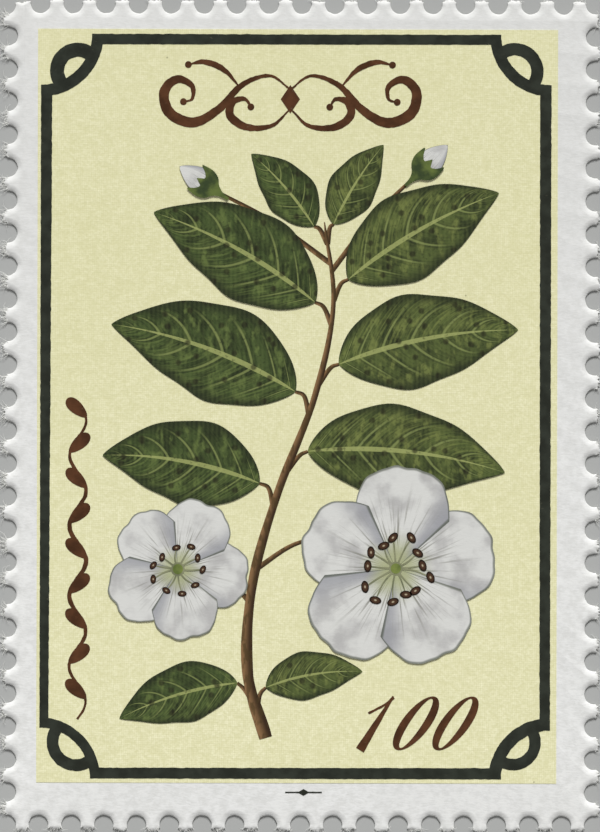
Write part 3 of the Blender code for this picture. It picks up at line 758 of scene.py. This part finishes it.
def turned(spot, angle):
    return flat(spot.x * math.cos(angle) - spot.y * math.sin(angle),
                spot.x * math.sin(angle) + spot.y * math.cos(angle))


def petal_ink(name, white):
    """A thin white and two greys over the tint: lines of shading run out from the heart and fade."""
    ink, tree, shader = new_material(name, 0.85, 0.12)
    drawn = add(tree, "TexCoord", {}).outputs["UV"]
    place = add(tree, "SeparateXYZ", {"Vector": drawn})
    out, side = place.outputs["X"], place.outputs["Y"]
    wash = add(tree, "TexNoise", {"Vector": millimetres(tree), "Scale": 0.9, "Detail": 4.0})
    colour = blended(tree, pointed(tree, wash.outputs["Fac"], 0.40, 0.68), linear(white), linear("B9B8B6"))
    shadow = pointed(tree, side, 0.30, 0.02, 0.0, 0.75)
    colour = blended(tree, shadow, colour, linear("94959C"))
    drawn_out = add(tree, "Mapping", {"Vector": drawn, "Scale": (1.6, 26, 1)}).outputs["Vector"]
    lines = add(tree, "TexNoise", {"Vector": drawn_out, "Scale": 1.0, "Detail": 3.0})
    line = pointed(tree, lines.outputs["Fac"], 0.52, 0.66)
    vein = maths(tree, "MULTIPLY", line, pointed(tree, out, 0.95, 0.25))
    colour = blended(tree, vein, colour, linear("8D8C84"))
    colour = blended(tree, pointed(tree, out, 0.42, 0.10, 0.0, 0.8), colour, linear("A9AE7C"))
    off = maths(tree, "ABSOLUTE", maths(tree, "SUBTRACT", side, 0.5))
    sides_line = pointed(tree, off, 0.478, 0.494, 0.0, 0.75)
    end_line = pointed(tree, out, 0.968, 0.990, 0.0, 0.75)
    outline = maths(tree, "MAXIMUM", sides_line, end_line)
    colour = blended(tree, outline, colour, linear("4E5544"))
    tree.links.new(colour, shader.inputs["Base Color"])
    embossed(tree, shader, paper_grain(tree), 0.005)
    return ink


petal_white = petal_ink("offset_ink_petal_white", "D9D9D5")
for name, middle, length, turn in BLOSSOMS:
    low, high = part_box(name + "_petals")
    film = high.z - low.z
    petals = []
    for number in range(PETALS):
        heading = math.radians(turn) + 2 * math.pi * number / PETALS
        size = length * (1 + 0.03 * math.sin(2.4 * number))
        bottom = low.z + film * number / PETALS

        def on_petal(share, side):
            return flat(*middle) + turned(petal_edge(size, side) * share, heading)
        thickness = film * PETAL_FILM / PETALS
        petals.append(laid_grid("petal", PETAL_ALONG, PETAL_ACROSS, on_petal, bottom, thickness))
    hand_in(join_up(name + "_petals_printed", petals), petal_white, "petal_ink", name + "_petals")

# The stamens: thin olive threads from each blossom's heart, with a dark brown pollen sac at each end and a
# small green style in the middle, drawn last over the petals. The threads take the lower part of the film,
# and the sacs and the style's smaller top its upper part.
STAMENS = {"blossom_large": 13, "blossom_small": 10}
SAC = {"blossom_large": (0.27, 0.17), "blossom_small": (0.20, 0.13)}
SAC_ALONG, SAC_ACROSS = 6, 16
SAC_TILT = 0.7
THREAD = 0.09
THREAD_REACH = (0.25, 0.37)
THREAD_SCATTER, THREAD_BOW = 0.2, 0.12
THREAD_STEPS = 5
STYLE, STYLE_TOP = 0.30, 0.225
STYLE_STEPS = 18
LAYER_SHARE = 0.45
UPPER_FROM = 0.55
STAMEN_SEED = 31


def disc(middle, radius, steps):
    """A round flat shape of this many sides."""
    angles = [2 * math.pi * i / steps for i in range(steps)]
    return [middle + radius * flat(math.cos(angle), math.sin(angle)) for angle in angles]


sac_ink, tree, shader = new_material("offset_ink_pollen_brown", 0.75, 0.12)
drawn = add(tree, "TexCoord", {}).outputs["UV"]
out = add(tree, "SeparateXYZ", {"Vector": drawn}).outputs["X"]
brown = blended(tree, pointed(tree, out, 0.05, 0.34), linear("B9AC90"), linear("4A3324"))
brown = blended(tree, pointed(tree, out, 0.55, 0.85), brown, linear("251A12"))
tree.links.new(brown, shader.inputs["Base Color"])
embossed(tree, shader, paper_grain(tree), 0.004)
thread_ink = pressed_ink("offset_ink_thread_grey_green", "6F7358", "8D8F70", 0.2)
style_ink = pressed_ink("offset_ink_style_green", "5B6A35", "7D8A48", 0.2)
scatter = random.Random(STAMEN_SEED)
for name, middle, length, turn in BLOSSOMS:
    low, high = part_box(name + "_stamens")
    film = high.z - low.z
    count = STAMENS[name]
    threads, sacs = [], []
    for number in range(count):
        position = number + scatter.uniform(-THREAD_SCATTER, THREAD_SCATTER)
        heading = math.radians(turn) + 2 * math.pi * position / count
        reach = length * scatter.uniform(*THREAD_REACH)
        bow = scatter.uniform(-THREAD_BOW, THREAD_BOW)
        tip = flat(reach, 0.0)
        thread = smooth_line([(0.0, 0.0), (reach * 0.5, bow), (reach, 0.0)], THREAD_STEPS)
        thread = [flat(*middle) + turned(spot, heading) for spot in thread]
        threads += strip(thread, lambda share: THREAD * (1 - 0.5 * share), 0.0)
        long_half, short_half = SAC[name]
        tilt = heading + math.radians(90) + scatter.uniform(-SAC_TILT, SAC_TILT)

        def on_sac(share, side):
            around = side * math.pi
            oval = flat(long_half * math.cos(around), short_half * math.sin(around)) * share
            return flat(*middle) + turned(tip, heading) + turned(oval, tilt)
        sacs.append(laid_grid("sac", SAC_ALONG, SAC_ACROSS, on_sac, low.z + film * UPPER_FROM,
                              film * LAYER_SHARE))
    threads.append(disc(flat(*middle), STYLE, STYLE_STEPS))
    threads_film = merged_film(name + "_threads_printed", threads, low.z, low.z + film * LAYER_SHARE)
    hand_in(threads_film, thread_ink, "stamen_ink", name + "_stamens")
    hand_in(join_up(name + "_sacs_printed", sacs), sac_ink, "stamen_ink")
    style_top = [disc(flat(*middle), STYLE_TOP, STYLE_STEPS)]
    style = merged_film(name + "_style_printed", style_top, low.z + film * UPPER_FROM, high.z)
    hand_in(style, style_ink, "stamen_ink")

# The buds: two closed flowers between the upper leaves, each a white point held in a green cup.
BUDS = [("bud_left", (-3.75, 9.75), 146, 1.9, 1.15), ("bud_right", (5.0, 10.45), 44, 1.9, 1.15)]
BUD_ALONG, BUD_ACROSS = 24, 12
CUP_STEPS = 4
CUP_HALF = [(-0.35, 0.06), (-0.15, 0.10), (0.0, 0.24), (0.10, 0.44), (0.24, 0.56), (0.40, 0.58), (0.58, 0.52),
            (0.44, 0.36), (0.36, 0.18), (0.44, 0.08), (0.52, 0.0)]
cup_ink = pressed_ink("offset_ink_cup_green", "38452A", "66743C", 0.15)
for name, foot, heading, length, width in BUDS:
    low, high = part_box(name)
    turn = math.radians(heading)

    def on_bud(share, side):
        across = width / 2 * max(math.sin(math.pi * share**0.72), 0.0) ** 0.8 * side
        return flat(*foot) + turned(flat(length * share, across), turn)
    bud = laid_grid(name + "_printed", BUD_ALONG, BUD_ACROSS, on_bud, low.z, high.z - low.z)
    hand_in(bud, petal_white, "petal_ink", name)
    half_cup = smooth_line([(length * x, -width * y) for x, y in CUP_HALF], CUP_STEPS)
    cup = half_cup + [flat(spot.x, -spot.y) for spot in reversed(half_cup[:-1])]
    cup = [flat(*foot) + turned(spot, turn) for spot in cup]
    low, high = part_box(name + "_calyx")
    calyx = merged_film(name + "_calyx_printed", [cup], low.z, high.z)
    hand_in(calyx, cup_ink, "leaf_ink", name + "_calyx")

# The flourish: a plain symmetrical pen flourish at the head of the panel, with thick and thin strokes and
# round ends and a lozenge in its middle, in brown ink.
FLOURISH_MIDDLE = (-0.5, 13.75)
FLOURISH_STROKES = [
    ([(0.0, 0.42), (0.9, 1.02), (2.1, 0.62), (3.1, -0.42), (4.2, -1.02), (5.25, -0.62), (5.5, 0.30),
      (4.95, 0.86), (4.30, 0.58), (4.28, 0.02), (4.66, -0.12)], 0.075, 0.46),
    ([(0.0, -0.42), (0.8, -1.15), (1.9, -1.22), (2.62, -0.72), (2.50, -0.12), (1.98, 0.0), (1.72, -0.34)],
     0.075, 0.36),
    ([(2.2, 0.52), (2.9, 1.28), (3.75, 1.62), (4.45, 1.50)], 0.07, 0.26),
]
FLOURISH_HEART = (0.42, 0.62)
PEN_STEPS = 12
TERMINAL_RADIUS = 0.15
TERMINAL_STEPS = 20


def swelled(thin, thick):
    return lambda share: thin + (thick - thin) * math.sin(math.pi * share) ** 1.6


wide, high_half = FLOURISH_HEART
centre = flat(*FLOURISH_MIDDLE)
strokes = [[centre + flat(x, y) for x, y in ((-wide, 0), (0, -high_half), (wide, 0), (0, high_half))]]
for side in (1, -1):
    for points, thin, thick in FLOURISH_STROKES:
        pen = smooth_line([(centre.x + side * x, centre.y + y) for x, y in points], PEN_STEPS)
        strokes += strip(pen, swelled(thin, thick))
        strokes.append(disc(pen[-1], TERMINAL_RADIUS, TERMINAL_STEPS))
low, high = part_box("flourish")
brown_ink = pressed_ink("offset_ink_brown", "442A18", "5C3A24", 0.3)
hand_in(merged_film("flourish_printed", strokes, low.z, high.z), brown_ink, "script_ink", "flourish")

# The side vine: a thin stem that sways up the left of the panel, with a small leaf at every bend.
VINE_X = -9.72
VINE_FOOT, VINE_HEAD = -13.3, 0.5
VINE_WAVES = 4.5
VINE_SWAY = 0.36
VINE_WIDTH = (0.10, 0.20)
VINE_LEAF = (1.05, 0.50)
VINE_LEAF_TURN = 48
VINE_LEAF_AT = 0.62
VINE_STEPS, VINE_LEAF_STEPS = 180, 24

vine_line = []
for i in range(VINE_STEPS + 1):
    share = i / VINE_STEPS
    sway = VINE_SWAY * math.sin(2 * math.pi * VINE_WAVES * share)
    vine_line.append(flat(VINE_X + sway, VINE_FOOT + (VINE_HEAD - VINE_FOOT) * share))
vine = strip(vine_line, swelled(*VINE_WIDTH))
length, width = VINE_LEAF
for bend in range(int(2 * VINE_WAVES)):
    foot = on_line(vine_line, (bend + VINE_LEAF_AT) / (2 * VINE_WAVES))
    heading = math.radians(90 - (1 if bend % 2 else -1) * VINE_LEAF_TURN)
    blade = []
    for i in range(VINE_LEAF_STEPS):
        angle = -2 * math.pi * i / VINE_LEAF_STEPS
        out, side = math.cos(angle), math.sin(angle)
        spot = flat(length * (0.5 - 0.56 * out), width / 2 * side * (1.1 - 0.3 * out))
        blade.append(foot + turned(spot, heading))
    vine.append(blade)
low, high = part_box("side_vine")
hand_in(merged_film("side_vine_printed", vine, low.z, high.z), brown_ink, "script_ink", "side_vine")

# The figure: a plain 100 at the foot of the panel, slanted, with thick downstrokes and hairlines.
FIGURE_FOOT = (2.6, -14.62)
FIGURE_HEIGHT = 2.35
FIGURE_SLANT = 0.62
FIGURE_SPACING = 1.72
THICK_STROKE, THIN_STROKE = 0.40, 0.10
FLAG = [(-0.62, 0.68), (-0.2, 0.82), (0.08, 0.97)]
DOWNSTROKE_STEPS, FLAG_STEPS, NOUGHT_STEPS = 14, 8, 60
FIGURE_ROUND = 0.70


def slanted(x, y, foot):
    return flat(foot[0] + x + y * FIGURE_SLANT, foot[1] + y)


def one(foot):
    """A slanting 1: a downstroke that is thick at its foot, with a hairline flag."""
    down = [slanted(0, FIGURE_HEIGHT * i / DOWNSTROKE_STEPS, foot) for i in range(DOWNSTROKE_STEPS + 1)]
    flag = smooth_line([slanted(x, FIGURE_HEIGHT * y, foot)[:2] for x, y in FLAG], FLAG_STEPS)
    thinning = THIN_STROKE - THICK_STROKE
    return strip(down, lambda share: THICK_STROKE + thinning * share) + strip(flag, lambda share: THIN_STROKE)


def nought(foot):
    """A slanting 0: a ring that is thick at its sides and thin at its top and foot."""
    half = FIGURE_HEIGHT / 2
    inner, outer = [], []
    for i in range(NOUGHT_STEPS + 1):
        x, y = math.cos(2 * math.pi * i / NOUGHT_STEPS), math.sin(2 * math.pi * i / NOUGHT_STEPS)
        outer.append(slanted(FIGURE_ROUND * x, half + half * y, foot))
        inner.append(slanted((FIGURE_ROUND - THICK_STROKE) * x, half + (half - THIN_STROKE) * y, foot))
    return [[inner[i], outer[i], outer[i + 1], inner[i + 1]] for i in range(NOUGHT_STEPS)]


for number, shape in enumerate([one, nought, nought]):
    name = f"figure_{number + 1}"
    low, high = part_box(name)
    foot = (FIGURE_FOOT[0] + FIGURE_SPACING * number, FIGURE_FOOT[1])
    hand_in(merged_film(name + "_printed", shape(foot), low.z, high.z), brown_ink, "script_ink", name)

# The margin rule: a short printer's rule with a swelled middle, in black on the bare paper below the panel.
RULE_MIDDLE = (0.15, -16.47)
RULE_SIZE = (1.6, 0.30)
RULE_LINE = 0.06
RULE_SWELL = 0.125
RULE_CREEP = 0.006
RULE_STEPS = 40


def rule_width(share):
    """The rule's width: a hairline with a small pointed swelling at its middle."""
    return RULE_LINE + (RULE_SIZE[1] - RULE_LINE) * max(0.0, 1 - abs(share - 0.5) / RULE_SWELL)


rule_line = [flat(RULE_MIDDLE[0] + RULE_SIZE[0] * (i / RULE_STEPS - 0.5), RULE_MIDDLE[1])
             for i in range(RULE_STEPS + 1)]
rule = strip(rule_line, rule_width, RULE_CREEP)
low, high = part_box("margin_rule")
hand_in(merged_film("margin_rule_printed", rule, low.z, high.z), black_ink, "frame_ink", "margin_rule")

# The floor, the lights and the camera. The stamp lies flat on a pale table and is seen from straight above,
# as on a scanner: a wide light stands far off past its head, a small one near its foot evens that out, and
# the room fills the rest. Each light is its width, its place and its power.
PIXELS_PER_MM = 22.93
PICTURE = (600, 832)
STAMP_MIDDLE_PIXEL = (301.0, 414.6)
STAMP_TURN = math.radians(0.15)
CAMERA_HEIGHT = 0.40
SENSOR = 36.0
CLIP_START = 0.01
FLOOR_SIZE, FLOOR_DROP = 0.6, 0.00002
ROOM_LIGHT = 0.13
KEY_LIGHT = (2.88, (0.54, 7.62, 4.74), 1062.0)
FILL_LIGHT = (0.2, (-0.05, -0.16, 0.26), 0.178)

bpy.ops.object.select_all(action="DESELECT")
bpy.ops.mesh.primitive_plane_add(size=FLOOR_SIZE, location=(0, 0, -FLOOR_DROP))
floor = bpy.context.object
floor.name = "table_top"
table, tree, shader = new_material("matt_table_lacquer", 0.7, 0.2)
cloud = add(tree, "TexNoise", {"Vector": millimetres(tree), "Scale": 0.05, "Detail": 2.0})
pale_grey = blended(tree, cloud.outputs["Fac"], linear("ABACAA"), linear("B1B2B0"))
tree.links.new(pale_grey, shader.inputs["Base Color"])
floor.data.materials.append(table)

world = bpy.data.worlds.new("studio")
bpy.context.scene.world = world
world.use_nodes = True
world.node_tree.nodes["Background"].inputs["Color"].default_value = (1.0, 1.0, 1.0, 1)
world.node_tree.nodes["Background"].inputs["Strength"].default_value = ROOM_LIGHT


def soft_light(name, size, spot, power):
    """A square area light that faces the middle of the stamp."""
    lamp = bpy.data.lights.new(name, "AREA")
    lamp.size = size
    lamp.energy = power
    holder = bpy.data.objects.new(name, lamp)
    holder.location = spot
    holder.rotation_euler = Vector(spot).to_track_quat("Z", "Y").to_euler()
    bpy.context.scene.collection.objects.link(holder)


soft_light("key_light", *KEY_LIGHT)
soft_light("fill_light", *FILL_LIGHT)

camera_data = bpy.data.cameras.new("scanner_view")
camera_data.sensor_width = SENSOR
camera_data.lens = SENSOR * CAMERA_HEIGHT / (PICTURE[1] / PIXELS_PER_MM * MM)
camera_data.clip_start = CLIP_START
camera = bpy.data.objects.new("scanner_view", camera_data)
camera.location = ((PICTURE[0] / 2 - STAMP_MIDDLE_PIXEL[0]) / PIXELS_PER_MM * MM,
                   (STAMP_MIDDLE_PIXEL[1] - PICTURE[1] / 2) / PIXELS_PER_MM * MM, CAMERA_HEIGHT)
camera.rotation_euler.z = STAMP_TURN
bpy.context.scene.collection.objects.link(camera)
bpy.context.scene.camera = camera
bpy.context.scene.view_settings.view_transform = "Standard"
bpy.context.scene.view_settings.look = "None"
